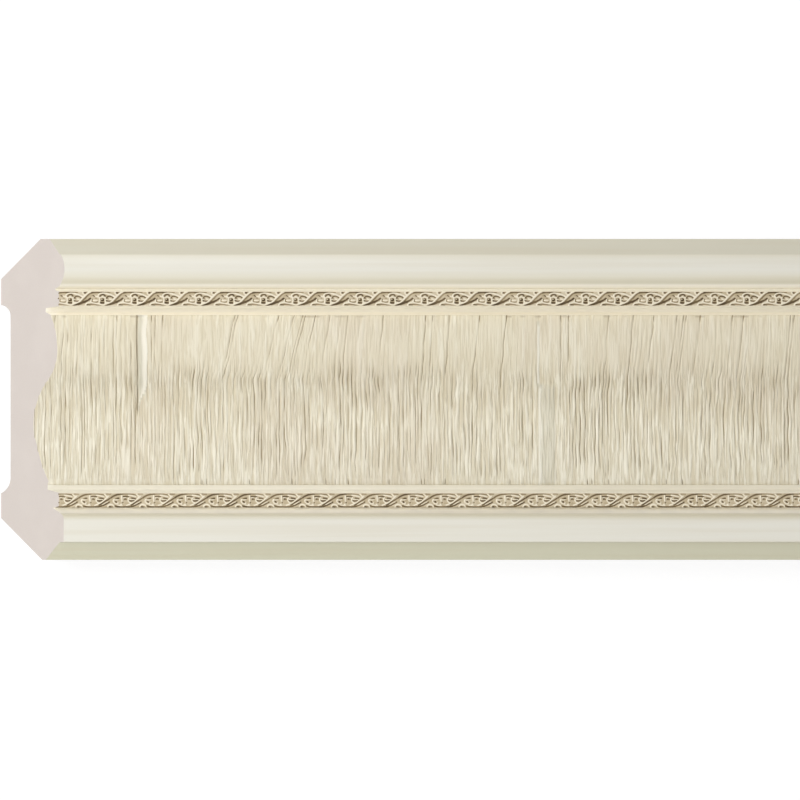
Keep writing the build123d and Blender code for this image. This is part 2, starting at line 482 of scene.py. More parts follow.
LOWER_MOTIF = (
    # ground between two scrolls
    (1.5, MID, ((6.6, -4.6), (7.6, -3.9), (8.3, -2.9), (9.2, -2.2))),
    # shadow lines below and above a scroll
    (0.7, DARK, ((9.8, -6.5), (11.4, -6.93), (13.6, -7.1), (15.8, -7.05), (17.9, -6.85), (18.9, -6.6))),
    (0.75, DARK, ((7.8, -2.5), (8.6, -1.9), (9.6, -1.4), (10.6, -1.0), (11.7, -0.8))),
    (0.55, DARK, ((11.7, -0.8), (12.8, -0.65), (13.9, -0.6))),
    (0.4, DARK_MID, ((13.9, -0.6), (16.0, -0.55), (18.0, -0.65), (19.4, -0.85), (20.4, -1.2))),
    (0.4, DARK_MID, ((5.5, -0.55), (7.6, -0.65))),
    # channels between the three ribs of a scroll
    (0.6, DARK, (
        (1.9, -6.1), (2.7, -5.7), (3.5, -5.1), (4.4, -4.5), (5.3, -4.0), (6.3, -3.4), (7.2, -2.8),
    )),
    (0.6, DARK, ((3.4, -6.4), (4.3, -6.1), (5.2, -5.6), (6.0, -5.15), (6.9, -4.7))),
    # the first half of a cell: oval, bar and hollow
    (0.65, DARK_MID, ((10.2, -2.9), (10.9, -2.8))),
    (0.65, DARK, ((11.0, -2.75), (11.7, -2.7))),
    (0.6, MID, ((11.6, -3.9), (12.3, -3.9))),
    (0.6, DEEP, ((10.2, -4.4), (10.5, -4.6))),
    (0.6, MID, ((11.6, -5.2), (12.3, -5.0))),
    # the second half of a cell: arc, seed and leaf
    (0.42, DARK, ((13.9, -1.85), (15.1, -1.75), (16.2, -1.85), (17.1, -2.3))),
    (0.75, DARK, ((14.7, -3.1), (15.2, -3.2))),
    (0.5, DARK_MID, ((15.2, -3.2), (15.7, -3.35))),
    (0.5, DARK, ((13.7, -4.9),)),
    (1.0, MID, ((14.9, -5.2), (16.6, -5.5))),
    (0.6, DARK, ((18.2, -2.6), (19.2, -2.7), (20.0, -2.95))),
    (0.5, DARK, ((16.9, -4.0), (18.2, -4.05), (19.2, -3.8))),
    # raised lines: ribs of the scroll, the cells' outlines and the stem
    (0.55, LIGHT, (
        (-0.3, -6.2), (1.0, -5.7), (1.9, -5.3), (3.0, -4.7),
        (4.1, -3.9), (5.1, -3.0), (6.0, -2.2), (6.5, -1.7),
    )),
    (0.4, PALE, ((3.5, -5.85), (4.4, -5.4), (5.3, -4.85), (6.2, -4.5))),
    (0.5, LIGHT, ((0.6, -1.15), (1.8, -1.25), (2.9, -1.55), (4.1, -1.75))),
    (0.5, LIGHT, ((4.6, -0.8), (5.2, -1.2), (5.8, -1.75))),
    (0.5, LIGHT, ((1.0, -2.3), (0.5, -2.9), (0.4, -3.7), (0.9, -4.5), (1.9, -5.1))),
    (0.3, LIGHT, ((1.2, -3.2), (2.4, -3.35), (3.6, -3.3))),
    (0.4, LIGHT, ((9.2, -3.3), (9.0, -4.2), (9.4, -4.9), (10.2, -5.4), (10.9, -5.4), (11.4, -5.0))),
    (0.3, LIGHT, ((9.4, -3.4), (10.4, -3.45), (11.4, -3.35))),
    (0.55, LIGHT, ((13.2, -1.4), (13.2, -2.7), (13.3, -4.1))),
    (0.3, LIGHT, ((14.1, -2.45), (15.1, -2.35))),
    (0.9, LIGHT, ((12.9, -5.9),)),
    (0.3, LIGHT, ((13.4, -6.35), (12.2, -6.3), (11.0, -6.05))),
    # ring with its pit
    (0.55, LIGHT, (
        (6.1, -7.3), (6.3, -6.6), (6.9, -6.0), (7.7, -5.75), (8.6, -6.0), (9.2, -6.5), (9.4, -7.2),
    )),
    (0.75, DARK, ((7.2, -6.95), (7.6, -7.0))),
    (0.4, DARK_MID, ((8.3, -6.9),)),
)


def smoothstep(low, high, value):
    """0 at low, 1 at high, and smooth between; low may be the larger."""
    share = np.clip((value - low) / (high - low), 0, 1)
    return share * share * (3 - 2 * share)


def smooth_line(points, step):
    """Places every step or so along a smooth curve through the points."""
    knots = np.array(points, float)
    if len(knots) == 1:
        return knots
    knots = np.vstack((2 * knots[0] - knots[1], knots, 2 * knots[-1] - knots[-2]))
    places = []
    for before, start, end, after in zip(knots, knots[1:], knots[2:], knots[3:]):
        count = 1 + int(np.hypot(*(end - start)) / step)
        s = np.linspace(0, 1, count, endpoint=False)[:, None]
        bend = (2 * before - 5 * start + 4 * end - after) * s**2
        twist = (3 * start - before - 3 * end + after) * s**3
        places.append((2 * start + (end - before) * s + bend + twist) / 2)
    places.append(knots[-2:-1])
    return np.vstack(places)


def carved_height(where, motif, pitch, width, fall):
    """Height of the carving below the band's face at each place, repeated every pitch."""
    height = np.full(len(where), GROUND)
    for stroke_width, level, points in motif:
        line = smooth_line(points, FINE_STEP)
        gap = np.full(len(where), np.inf)
        for shift in (-pitch, 0, pitch):
            away = where[:, None, :] - (line + (shift, 0))[None, :, :]
            gap = np.minimum(gap, np.hypot(away[..., 0], away[..., 1]).min(axis=1))
        weight = smoothstep(stroke_width / 2 + STROKE_EDGE, stroke_width * 0.2, gap)
        height += (level - height) * weight
    to_bottom = where[:, 1] + width
    to_edge = -where[:, 1] if fall else np.minimum(-where[:, 1], to_bottom)
    height += (BAND_EDGE - height) * smoothstep(0.4, 0.1, to_edge)
    return height - fall * smoothstep(BAND_FALL_WIDTH, 0, to_bottom)


def tile_places(pitch, width):
    """Places of one motif's grid: coarse along its sides, fine inside."""
    seam_y = np.linspace(0, -width, 1 + round(width / SEAM_STEP))
    edge_x = np.linspace(0, pitch, 1 + round(pitch / LONG_EDGE_STEP))[1:-1]
    inner_x = np.linspace(0, pitch, 1 + round(pitch / FINE_STEP))[1:-1]
    inner_y = np.linspace(0, -width, 1 + round(width / FINE_STEP))[1:-1]
    left = np.column_stack((np.zeros_like(seam_y), seam_y))
    top = np.column_stack((edge_x, np.zeros_like(edge_x)))
    inside = np.stack(np.meshgrid(inner_x, inner_y), axis=-1).reshape(-1, 2)
    return np.vstack((left, left + (pitch, 0), top, top - (0, width), inside))


def flat_tile(pitch, width):
    """One motif's flat triangles: places, those on its sides first, faces and number on the sides."""
    cells = delaunay_2d_cdt([Vector(p) for p in tile_places(pitch, width)], [], [], 0, 1e-5)
    flat = np.array([tuple(p) for p in cells[0]])
    x, y = flat.T
    inside = np.min(np.abs((x, x - pitch, y, y + width)), axis=0) > 1e-4
    order = np.argsort(inside, kind="stable")
    new_number = np.argsort(order)
    faces = [tuple(int(new_number[i]) for i in face) for face in cells[2]]
    return flat[order], faces, int((~inside).sum())


def thinned(vertices, faces, fixed, triangles):
    """The same surface with fewer triangles; the first vertices, fixed of them, stay."""
    piece = new_piece("fine_tile", vertices, faces)
    inner = piece.vertex_groups.new(name="inner")
    inner.add(list(range(fixed, len(vertices))), 1.0, "REPLACE")
    decimate = piece.modifiers.new("thin", "DECIMATE")
    decimate.ratio = triangles / len(faces)
    decimate.vertex_group = inner.name
    shape = piece.evaluated_get(bpy.context.evaluated_depsgraph_get()).to_mesh()
    places = np.array([v.co for v in shape.vertices]) / MM
    corners = [tuple(p.vertices) for p in shape.polygons]
    bpy.data.objects.remove(piece)
    return places, corners


def motif_tile(motif, pitch, width, fall):
    """One carved motif: its vertices, its faces and its left, inner and right vertices' numbers."""
    flat, faces, fixed = flat_tile(pitch, width)
    height = carved_height(flat, motif, pitch, width, fall)
    places, faces = thinned(np.column_stack((flat, height)), faces, fixed, TILE_TRIANGLES)
    at_left = places[:, 0] < SAME_PLACE
    at_right = places[:, 0] > pitch - SAME_PLACE
    left, right = (
        sorted(np.flatnonzero(side), key=lambda i: -places[i, 1]) for side in (at_left, at_right)
    )
    middle = list(np.flatnonzero(~at_left & ~at_right))
    return places, faces, left, middle, right


def closed_tile(motif, pitch, width, fall):
    """A motif with its side walls and underside: vertices, relief faces, hidden faces and side count."""
    places, relief, left, middle, right = motif_tile(motif, pitch, width, fall)
    corners = {
        "low left": (0, -width, -BAND_SEAT),
        "high left": (0, 0, -BAND_SEAT),
        "low right": (pitch, -width, -BAND_SEAT),
        "high right": (pitch, 0, -BAND_SEAT),
    }
    order = left + ["low left", "high left"] + middle + right + ["low right", "high right"]
    vertices = [corners[key] if key in corners else tuple(places[key]) for key in order]
    index = {key: number for number, key in enumerate(order)}
    relief = [tuple(index[i] for i in face) for face in relief]
    across = sorted(left + middle + right, key=lambda i: places[i, 0])
    top = [i for i in across if places[i, 1] > -SAME_PLACE]
    bottom = [i for i in across if places[i, 1] < SAME_PLACE - width]
    hidden = []
    for chain, ends in ((top, ("high left", "high right")), (bottom, ("low left", "low right"))):
        chain_numbers, end_numbers = [index[i] for i in chain], [index[e] for e in ends]
        hidden += stitch(chain_numbers, end_numbers, places[chain, 0], (0, pitch))
    hidden.append(tuple(index[k] for k in ("low left", "high left", "high right", "low right")))
    return np.array(vertices), relief, hidden, len(left) + 2


def make_band(name, motif, start, pitch, top, width, fall, tiles):
    """A stretch of a carved band: tiles is the range of motifs that it holds."""
    vertices, relief, hidden, side = closed_tile(motif, pitch, width, fall)
    stride = len(vertices) - side
    lengths = [vertices[:side] + (tiles[0] * pitch, 0, 0)]
    for tile in tiles:
        lengths.append(vertices[side:] + (tile * pitch, 0, 0))
    places = np.vstack(lengths) + (start, top, BAND_LEVEL)
    repeated = [
        tuple(i + number * stride for i in face)
        for kind in (relief, hidden)
        for number in range(len(tiles))
        for face in kind
    ]
    first_ring = tuple(range(side))
    last_ring = tuple(len(places) - side + i for i in range(side))
    band = new_piece(name, places, repeated + [first_ring, last_ring[::-1]])
    cut_ends(band, len(relief) * len(tiles))
    return band


# Grained field: u runs along the stock and t down the curved face, both in millimetres

ROWS = 46
FIRST_ROWS = (0.0, 0.8, 2.2)  # closer rows along the field's two long edges
FURROW_HALF = 0.42
FURROW_DEPTH = 0.68
FURROW_GAPS = (1.15, 2.85)  # least and most from one furrow to the next
RIDGE_CROWN = -0.28  # the lip right of a furrow stands up by this share of a furrow's depth
RIDGE_MIDDLE = -0.04  # and the ridge's middle by this share
STROKE_LENGTH = 9.0
SWELL = 0.16  # depth of the soft unevenness under the grain
FIELD_LIFT = 0.4  # how far the grained face stands above the plain S curve
LOWER_LIFT = 1.1  # and how much farther along its bottom edge
SMOOTH_ZONE = 29.0  # the worn, smoother part below the field's top edge
CRACK_SHARE = 0.18  # furrows that run on through the smooth part
PIT_SHARE = 0.1  # furrows that end in a small dark pit at the field's bottom edge
LEAST_LEAN = 0.04  # the grain's run along the stock for each millimetre up the smooth part
LEAN_SPREAD = 0.26
DRIFT, DRIFT_WAVES = 1.5, (13, 26)  # how far the grain wanders, and its waves' size along u and t
QUIVER, QUIVER_WAVES = 0.65, (4.5, 7)  # the same in short waves
SWAY, SWAY_WAVES = 0.45, (60, 7)  # and in waves that neighbouring furrows share
JOINT_STEP = 0.4  # columns inside a joint
SLAB_STATION = 16  # columns between two stations of the slab's underside
NOISE_MARGIN = 5.0  # how far noise reaches past the columns

# Sheet joints in the embossed film: place along the stock, width, first and last t, height
FIRST_JOINT = -931.9  # the grain runs on to the field's top edge left of it
CHANNELS = ((FIRST_JOINT, 5.4, 0.0, 53.0, -1.1),)
PATCHES = ((-731.2, 8.3, 36.0, 95.0, 0.4), (-732.0, 1.3, 3.0, 38.0, 0.25))
LATER_JOINTS_START = -560.0


class Lattice:
    """Smooth seeded noise from 0 to 1 on a grid of random knots."""

    def __init__(self, random, u_span, t_span, u_size, t_size):
        self.low = u_span[0], t_span[0]
        self.size = u_size, t_size
        columns = 3 + int((u_span[1] - u_span[0]) / u_size)
        rows = 3 + int((t_span[1] - t_span[0]) / t_size)
        self.knots = random.random((columns, rows))

    def at(self, u, t):
        """The noise at places given by arrays that broadcast together."""
        u, t = np.broadcast_arrays((u - self.low[0]) / self.size[0], (t - self.low[1]) / self.size[1])
        i, j = np.floor(u).astype(int), np.floor(t).astype(int)
        i = np.clip(i, 0, self.knots.shape[0] - 2)
        j = np.clip(j, 0, self.knots.shape[1] - 2)
        a, b = smoothstep(0, 1, u - i), smoothstep(0, 1, t - j)
        near = self.knots[i, j] * (1 - b) + self.knots[i, j + 1] * b
        far = self.knots[i + 1, j] * (1 - b) + self.knots[i + 1, j + 1] * b
        return near * (1 - a) + far * a


class Grid:
    """The field's columns along u and rows down t, and seeded noise over them."""

    def __init__(self, random, u, t):
        self.random = random
        self.u, self.t = u, t
        self.column, self.row = u[:, None], t[None, :]
        self.last = t[-1]

    def lattice(self, u_size, t_size):
        """Noise that reaches a little past the columns."""
        span = self.u[0] - NOISE_MARGIN, self.u[-1] + NOISE_MARGIN
        return Lattice(self.random, span, (0, self.last), u_size, t_size)

    def noise(self, u_size, t_size):
        """Smooth noise at every column and row."""
        return self.lattice(u_size, t_size).at(self.column, self.row)

    def noise_along(self, u_size):
        """Smooth noise that changes from column to column and is the same in all rows."""
        return self.lattice(u_size, 2 * self.last).at(self.column, 0 * self.row)


def later_joints(random):
    """Sheet joints like the two near the mitred end, at uneven steps along the rest of the stock."""
    joints = []
    start = LATER_JOINTS_START
    while start < SQUARE_END - 30:
        reach = random.uniform(40, 55)
        if random.random() < 0.5:
            joints.append((start, random.uniform(4.2, 5.8), 0.0, reach, -random.uniform(0.7, 1.1)))
        else:
            joints.append((start, random.uniform(6.0, 8.5), reach - 12, 95.0, random.uniform(0.25, 0.4)))
        start += random.uniform(90, 210)
    return tuple(joints)


def furrow_columns(random):
    """Columns over the furrows and ridges: place, share of a furrow's depth and furrow number."""
    start, end = MITRE_TOE - RUN_OVER, SQUARE_END + RUN_OVER
    furrows = start + np.cumsum(random.uniform(*FURROW_GAPS, int((end - start) / FURROW_GAPS[0])))
    furrows = furrows[furrows < end]
    half = FURROW_HALF * random.uniform(0.7, 1.1, len(furrows))
    ridges = np.append((furrows[1:] + furrows[:-1]) / 2, end + 1.0)
    place = np.concatenate((furrows - half, furrows, furrows + half, ridges))
    share = np.repeat((0.0, 1.0, RIDGE_CROWN, RIDGE_MIDDLE), len(furrows))
    number = np.tile(np.arange(len(furrows)), 4)
    order = np.argsort(place)
    return place[order], share[order], number[order]


def field_columns(random, joints):
    """All columns of the grid, with closer ones inside the joints and a crisp pair at each left edge."""
    place, share, number = furrow_columns(random)
    for start, width, *_ in joints:
        clear = np.abs(place - start) > 0.3
        place, share, number = place[clear], share[clear], number[clear]
        extra = np.arange(start + JOINT_STEP, start + width + 1.5, JOINT_STEP)
        extra = extra[np.abs(extra[:, None] - place).min(axis=1) > 0.15]
        extra = np.concatenate(((start - 0.07, start + 0.07), extra))
        at = np.searchsorted(place, extra)
        share = np.insert(share, at, np.interp(extra, place, share))
        number = np.insert(number, at, number[at])
        place = np.insert(place, at, extra)
    return place, share, number


def drifted(grid, joints):
    """Places of the columns along the stock at each row: the grain leans and wanders, joints don't."""
    u, row = grid.u, grid.row
    slant = grid.noise_along(45) * smoothstep(FIRST_JOINT, FIRST_JOINT + 30, grid.column)
    drift = DRIFT * (grid.noise(*DRIFT_WAVES) - 0.5)
    quiver = QUIVER * (grid.noise(*QUIVER_WAVES) - 0.5)
    sway = SWAY * (grid.noise(*SWAY_WAVES) - 0.5)
    lean = (LEAST_LEAN + LEAN_SPREAD * slant) * np.maximum(SMOOTH_ZONE + 4 - row, 0)
    gaps = [np.maximum(np.maximum(start - u, u - start - width), 0) for start, width, *_ in joints]
    from_joint = np.min(gaps, axis=0)[:, None]
    free = smoothstep(0, 32, from_joint)
    fade = smoothstep(0, 6, row) * smoothstep(grid.last, grid.last - 6, row)
    quiver = quiver * smoothstep(0, 5, from_joint)
    return grid.column + free * (lean + drift) + (quiver + sway) * fade


def coarse_border(grid):
    """How far below the field's top edge the coarse grain begins."""
    border = SMOOTH_ZONE + 12 * (grid.noise_along(28) - 0.5)
    border = border + 8 * (grid.noise_along(6) - 0.5)
    return border - 24 * smoothstep(FIRST_JOINT + 2, FIRST_JOINT - 8, grid.column)


def grain_zone(grid, border):
    """How fully the grain shows: faint above the border and again along the field's bottom edge."""
    quiet = 0.08 + 0.45 * grid.noise(55, 30) ** 2
    zone = quiet + (1 - quiet) * smoothstep(border - 5, border + 5, grid.row)
    end = grid.last - 11 * grid.noise_along(3.5)
    return zone * (1 - 0.85 * smoothstep(end - 4, end, grid.row))


def grain_depth(grid, share, number):
    """Depth of the grain at each column and row, as a share of the deepest; ridges are below 0."""
    random, row = grid.random, grid.row
    count = number.max() + 1
    strokes = Lattice(random, (0, count), (0, grid.last), 1, STROKE_LENGTH)
    pressed = 0.42 + 0.58 * smoothstep(0.25, 0.75, strokes.at(number[:, None].astype(float), row))
    strength = (0.45 + 0.65 * random.random(count) ** 1.2)[number][:, None]
    border = coarse_border(grid)
    grain = share[:, None] * strength * pressed * grain_zone(grid, border)

    furrow_floor = share[:, None] > 0.99
    cracked = (random.random(count) < CRACK_SHARE)[number][:, None] & furrow_floor
    crack = 0.75 * pressed * smoothstep(border + 6, border - 2, row)
    grain = np.where(cracked, np.maximum(grain, crack), grain)
    pitted = (random.random(count) < PIT_SHARE)[number][:, None] & furrow_floor
    top_pit = cracked & (np.abs(row - 1.5) < 0.9)
    low_pit = pitted & (np.abs(grid.last - row - 1.5) < 0.9)
    return np.where(top_pit | low_pit, 0.95, grain)


def channel_shape(u, t, joint):
    """Height and tint of a joint that is a groove with a steep left wall, narrower towards its end; the
    tint rises as painted light on the slope that faces the key lamp.
    """
    start, width, _, last, height = joint
    width = width * (1 - 0.85 * smoothstep(last - 19, last, t) - 0.08 * np.sin(t * 0.17) ** 2)
    across = (u - start) / width
    profile = height * smoothstep(1.0, 0.5, across) * (across > 0)
    tint = 0.5 + 0.42 * smoothstep(0.3, 0.75, across) - 0.5 * smoothstep(1.0, 0.2, u - start)
    return across, profile, tint


def patch_shape(u, t, joint):
    """Height and tint of a joint that is a smooth raised strip with a pale left edge, a painted highlight
    where it rises towards the key lamp.
    """
    start, width, _, _, height = joint
    across = (u - start) / width
    profile = height * smoothstep(0, 1.1, u - start) * smoothstep(0, 0.9, start + width - u)
    tint = 0.3 + 0.55 * smoothstep(1.5, 0.8, u - start - 0.9 * np.sin(t * 0.13) ** 2)
    return across, profile, tint


def joint_shape(u, t, joint):
    """Height of a sheet joint, how far it smooths the grain, and its tint: 0.5 on a floor, 1 at most; the
    higher values are painted light on the lips.
    """
    first, last, height = joint[2:]
    shape = channel_shape if height < 0 else patch_shape
    across, profile, tint = shape(u, t, joint)
    from_top = t + 5 * (first <= 0)
    along = smoothstep(first - 0.5, first + 2.5, from_top) * smoothstep(last + 1, last - 3, t)
    inside = ((across > 0) & (across < 1)) * along
    return profile * along, inside, tint * inside


def joint_edge_darkening(u, t, joints):
    """How much darker each joint's left edge is, in its corner."""
    glaze = np.zeros(np.broadcast(u, t).shape)
    for start, _, first, last, height in joints:
        along = smoothstep(first - 3, first + 1, t) * smoothstep(last + 1, last - 3, t)
        strength = 0.5 if height < 0 else 0.3
        glaze = np.maximum(glaze, strength * along * smoothstep(0.55, 0.2, np.abs(u - start - 0.1)))
    return glaze


def all_joints(u, t, joints):
    """Height, smoothing and tint of all the sheet joints together."""
    joined, smoothed, tinted = (np.zeros(np.broadcast(u, t).shape) for _ in range(3))
    for joint in joints:
        height, inside, tint = joint_shape(u, t, joint)
        joined += height
        smoothed = np.maximum(smoothed, inside)
        tinted = np.maximum(tinted, tint)
    return joined, smoothed, tinted


def field_rows(length):
    """The rows' places down the curve, closer together along both edges."""
    inner = np.linspace(FIRST_ROWS[-1], length - FIRST_ROWS[-1], ROWS - 4)
    return np.concatenate((FIRST_ROWS[:-1], inner, length - np.array(FIRST_ROWS[-2::-1])))


def field_lift(t):
    """How far the face stands above the plain S curve at each row."""
    last = t[-1]
    lift = FIELD_LIFT * smoothstep(0, 6, t) * smoothstep(last, last - 2, t)
    return lift + LOWER_LIFT * smoothstep(last - 30, last - 18, t) * smoothstep(last, last - 2, t)


def field_shape(random):
    """Places of the grid, depth of the grain and tint of the joints, each by column and row."""
    curve = np.array(field_curve(30))
    length = np.concatenate(((0,), np.cumsum(np.hypot(*np.diff(curve, axis=0).T))))
    t = field_rows(length[-1])
    joints = CHANNELS + PATCHES + later_joints(random)
    u, share, number = field_columns(random, joints)
    grid = Grid(random, u, t)
    x = drifted(grid, joints)
    grain = grain_depth(grid, share, number)

    swell = SWELL * (grid.noise(7, 14) - 1)
    joined, smoothed, tinted = all_joints(grid.column, grid.row, joints)
    grain = np.maximum(grain * (1 - 0.9 * smoothed), joint_edge_darkening(grid.column, grid.row, joints))
    # patches along the field's top edge sink a little and take the furrows' brown
    top_edge_dips = smoothstep(0.55, 0.8, grid.noise_along(4.5))
    grain = np.maximum(grain, 0.45 * top_edge_dips * (grid.row > 0) * (grid.row < FIRST_ROWS[-1]))
    inner = (grid.row > 0) & (grid.row < grid.last)
    relief = (joined - FURROW_DEPTH * grain + swell) * inner + field_lift(t)[None, :]
    y = np.interp(t, length, curve[:, 0])
    z = np.interp(t, length, curve[:, 1])[None, :] + relief
    return np.stack((x, np.broadcast_to(y, x.shape), z), axis=-1), grain, tinted


def quads(number, flip):
    """Four-sided faces over a grid of vertex numbers."""
    here, down, across, over = number[:-1, :-1], number[:-1, 1:], number[1:, 1:], number[1:, :-1]
    sides = (here, over, across, down) if flip else (here, down, across, over)
    return np.stack(sides, axis=-1).reshape(-1, 4).tolist()


def make_field_half(name, places, grain, tinted):
    """A closed slab with the grained face on it."""
    columns, rows = places.shape[:2]
    seat = [(y, z - FIELD_SEAT) for y, z in field_curve(SEAT_ARC_POINTS)]
    stations = sorted(set(range(0, columns, SLAB_STATION)) | {columns - 1})
    low = np.array([[(places[c, 0, 0], y, z) for y, z in seat] for c in stations])
    number = np.arange(columns * rows).reshape(columns, rows)
    under = columns * rows + np.arange(len(stations) * len(seat)).reshape(len(stations), len(seat))
    relief = quads(number, flip=False)
    hidden = []
    for row, seat_point in ((0, 0), (rows - 1, len(seat) - 1)):
        edge, low_edge = number[:, row].tolist(), under[:, seat_point].tolist()
        hidden += stitch(edge, low_edge, places[:, row, 0], low[:, seat_point, 0])
    hidden += quads(under, flip=True)
    for c, s in ((0, 0), (columns - 1, len(stations) - 1)):
        hidden.append(number[c].tolist() + under[s][::-1].tolist())
    half = new_piece(name, np.vstack((places.reshape(-1, 3), low.reshape(-1, 3))), relief + hidden)
    for label, values in (("grain", grain), ("joint", tinted)):
        attribute = half.data.attributes.new(label, "FLOAT", "POINT")
        attribute.data.foreach_set("value", np.append(values.ravel(), np.zeros(under.size)))
    cut_ends(half, len(relief))
    return half


def make_field():
    """The two halves of the grained field."""
    random = np.random.default_rng(SEED)
    places, grain, tinted = field_shape(random)
    middle = int(np.argmin(np.abs(places[:, 0, 0] - (MITRE_TOE + SQUARE_END) / 2)))
    halves = slice(0, middle + 1), slice(middle, None)
    return [
        make_field_half(f"grained_field_{n}", places[part], grain[part], tinted[part])
        for n, part in enumerate(halves, 1)
    ]


# Materials


def srgb(red, green, blue):
    """A colour as it is written on a screen, from 0 to 255, for a shader's socket."""
    levels = (value / 255 for value in (red, green, blue))
    return (*((v / 12.92 if v <= 0.04045 else ((v + 0.055) / 1.055) ** 2.4) for v in levels), 1.0)


PEARL = srgb(236, 233, 221)
# painted shade where the ovolo turns away from the lamps at its edges
PEARL_EDGE_SHADE = srgb(232, 227, 209)
# painted light: a near-white cream that brightens the grooves, the notch and the shoulder bevel where
# shade falls
PAINTED_LIGHT_CREAM = srgb(255, 249, 233)
FILLET = srgb(242, 236, 218)
# painted shade on the ovolo's down-turned lower part and where the plinth rolls into the shoulder bevel
PAINTED_SHADE_TAN = srgb(215, 208, 184)
# duller paint with painted shade on the top bevel; also the tone of the paint's random mottle
BEVEL_SHADE_AND_MOTTLE = srgb(220, 215, 196)
# duller paint with painted shade on the wall bevel, which faces away from the lamps
WALL_BEVEL_SHADE = srgb(217, 214, 188)
FOAM = srgb(213, 204, 197)
FIELD = srgb(232, 223, 198)
# pale streaks in the grain, and the painted highlight on the raised lips beside the furrows
PALE_STREAK_AND_HIGHLIGHT = srgb(252, 247, 229)
FURROW = srgb(146, 126, 89)
TOUCHED = srgb(208, 195, 164)
# painted shade on the field's down-facing slope below the crest
SLOPE_SHADE_BROWN = srgb(208, 190, 157)
CLOUDED = srgb(220, 206, 184)
JOINT_FLOOR = srgb(215, 210, 190)
# a whiter smear with painted highlight on the joints' lips that face the key lamp
JOINT_LIP_HIGHLIGHT = srgb(250, 245, 230)
FOAM_CELL = srgb(206, 193, 184)
FOAM_PALE = srgb(230, 222, 214)

# Paint across the face, from the wall edge up: place in millimetres and colour; it holds painted shade on
# the bevels and the ovolo's edges and painted light in the grooves and the notch
FACE_PAINT = (
    # duller paint with painted shade on the wall bevel
    (WALL_EDGE, WALL_BEVEL_SHADE),
    (PLINTH_BOTTOM - 0.2, WALL_BEVEL_SHADE),
    (PLINTH_BOTTOM + 0.2, PEARL),
    (PLINTH_TOP - 0.5, PEARL),
    # painted shade where the plinth rolls over into the shoulder bevel
    (SHOULDER_BREAK - 1.6, PAINTED_SHADE_TAN),
    (SHOULDER_BREAK - 0.5, PAINTED_SHADE_TAN),
    # painted light on the shoulder bevel and the groove beside the lower band
    (SHOULDER_BREAK + 0.3, PAINTED_LIGHT_CREAM),
    (LOWER_BAND_TOP, PAINTED_LIGHT_CREAM),
    (FILLET_BOTTOM, FILLET),
    (FIELD_BOTTOM, FILLET),
    # painted light on the notch below the upper band
    (FIELD_TOP, PAINTED_LIGHT_CREAM),
    (UPPER_BAND_TOP, PAINTED_LIGHT_CREAM),
    (UPPER_GROOVE_BOTTOM, FILLET),
    (UPPER_GROOVE_TOP, FILLET),
    # painted light on the ovolo's lean wall and the groove below it
    (OVOLO_BOTTOM - 0.7, PAINTED_LIGHT_CREAM),
    (OVOLO_BOTTOM + 0.5, PAINTED_LIGHT_CREAM),
    # painted shade on the ovolo's down-turned lower part, fading towards its middle
    (OVOLO_BOTTOM + 1.1, PAINTED_SHADE_TAN),
    (OVOLO_BOTTOM + 2.2, PAINTED_SHADE_TAN),
    (OVOLO_BOTTOM + 4.5, PEARL_EDGE_SHADE),
    (OVOLO_BOTTOM + 8.0, PEARL),
    (OVOLO_TOP - 4.0, PEARL),
    # painted shade where the ovolo turns away at its top, then duller paint with painted shade on the top
    # bevel
    (OVOLO_TOP - 0.3, PEARL_EDGE_SHADE),
    (OVOLO_TOP + 0.1, BEVEL_SHADE_AND_MOTTLE),
    (CEILING_EDGE, BEVEL_SHADE_AND_MOTTLE),
)
GLAZE_STOPS = (
    (0.0, srgb(244, 234, 211)),
    (0.3, srgb(190, 173, 140)),
    (0.6, srgb(136, 117, 82)),
    (1.0, srgb(84, 66, 38)),
)


def add_node(tree, kind, inputs, **settings):
    """Adds a node to a tree; an input is a value or the socket that feeds it."""
    made = tree.nodes.new(kind)
    for name, value in settings.items():
        setattr(made, name, value)
    for name, value in inputs.items():
        if isinstance(value, bpy.types.NodeSocket):
            tree.links.new(value, made.inputs[name])
        else:
            made.inputs[name].default_value = value
    return made


